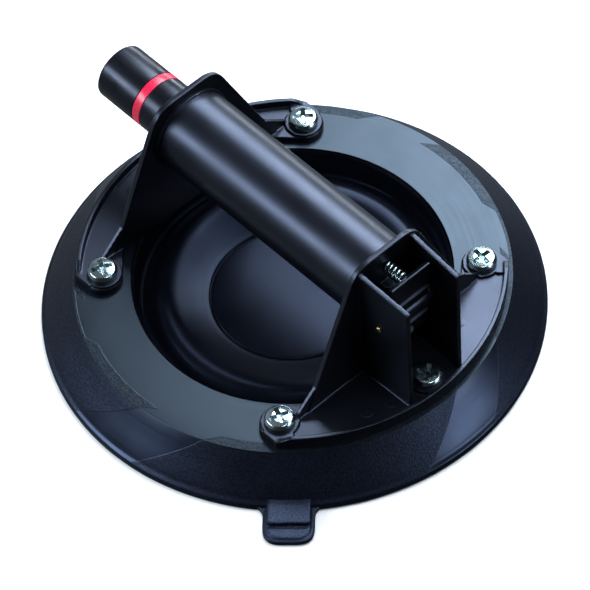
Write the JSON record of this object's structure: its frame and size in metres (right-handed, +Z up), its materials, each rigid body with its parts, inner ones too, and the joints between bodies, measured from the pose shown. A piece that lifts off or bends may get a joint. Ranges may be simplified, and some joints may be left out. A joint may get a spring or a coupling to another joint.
{
  "type": "hand-pump vacuum cup",
  "caption": "Round rubber vacuum cup with a bridge handle whose grip is a hand pump, a sprung plunger with a low-vacuum band and a sprung release lever.",
  "frame": {"origin": "centre of the round pad on its flat sealing plane, which is also the middle of the base of the whole object's box", "axes": "+Z up out of the sealing plane; +X along the grip towards the release lever, so the plunger points towards -X; +Y completes the right-handed set"},
  "size_m": [0.2032, 0.2032, 0.0855],
  "materials": {
    "pad_rubber": "satin black moulded rubber with grained and smooth sectors",
    "seal_rubber": "matt black seal rubber",
    "black_plastic": "semi-gloss black moulded plastic",
    "plunger_plastic": "semi-gloss black moulded plastic, polished by use",
    "red_plastic": "glossy red band",
    "white_plastic": "off-white low-friction plastic",
    "bright_steel": "bright zinc-plated steel",
    "dark_steel": "plain plated steel",
    "brass": "turned brass",
    "felt": "porous felt"
  },
  "bodies": {
    "cup_frame": {"vacuum_pad": "pad_rubber", "mounting_ring": "dark_steel", "ring_nut_1": "dark_steel", "ring_nut_2": "dark_steel", "ring_nut_3": "dark_steel", "ring_nut_4": "dark_steel", "ring_nut_5": "dark_steel", "ring_nut_6": "dark_steel", "filter_element": "felt", "filter_retainer": "black_plastic", "handle_body": "black_plastic", "foot_screw_1": "bright_steel", "foot_screw_2": "bright_steel", "foot_screw_3": "bright_steel", "foot_screw_4": "bright_steel", "foot_screw_5": "bright_steel", "foot_screw_6": "bright_steel", "guide_bush": "white_plastic", "wiper_ring": "seal_rubber", "bush_retaining_ring": "dark_steel", "inlet_valve_seat": "white_plastic", "inlet_valve": "seal_rubber", "port_tube": "brass", "valve_nipple": "brass", "lever_pivot_pin": "brass", "plunger_spring": "bright_steel", "release_spring": "bright_steel"},
    "pump_plunger": {"plunger": "plunger_plastic", "indicator_band": "red_plastic", "piston": "white_plastic", "piston_cup": "seal_rubber", "cup_retainer": "dark_steel", "piston_screw": "dark_steel"},
    "release": {"release_lever": "black_plastic", "release_valve_plug": "seal_rubber"}
  },
  "joints": [
    {"name": "plunger_stroke", "type": "slide", "parent": "cup_frame", "child": "pump_plunger", "axis": [1, 0, 0], "range_m": [0, 0.036], "stiffness_N_per_m": 450, "springref_m": -0.02, "deforming": ["plunger_spring"]},
    {"name": "release_lever_tilt", "type": "hinge", "parent": "cup_frame", "child": "release", "pos_m": [0.066, 0, 0.0578], "axis": [0, -1, 0], "range_deg": [0, 10], "stiffness_Nm_per_rad": 0.6, "springref_deg": -6.88, "deforming": ["release_spring"]}
  ]
}
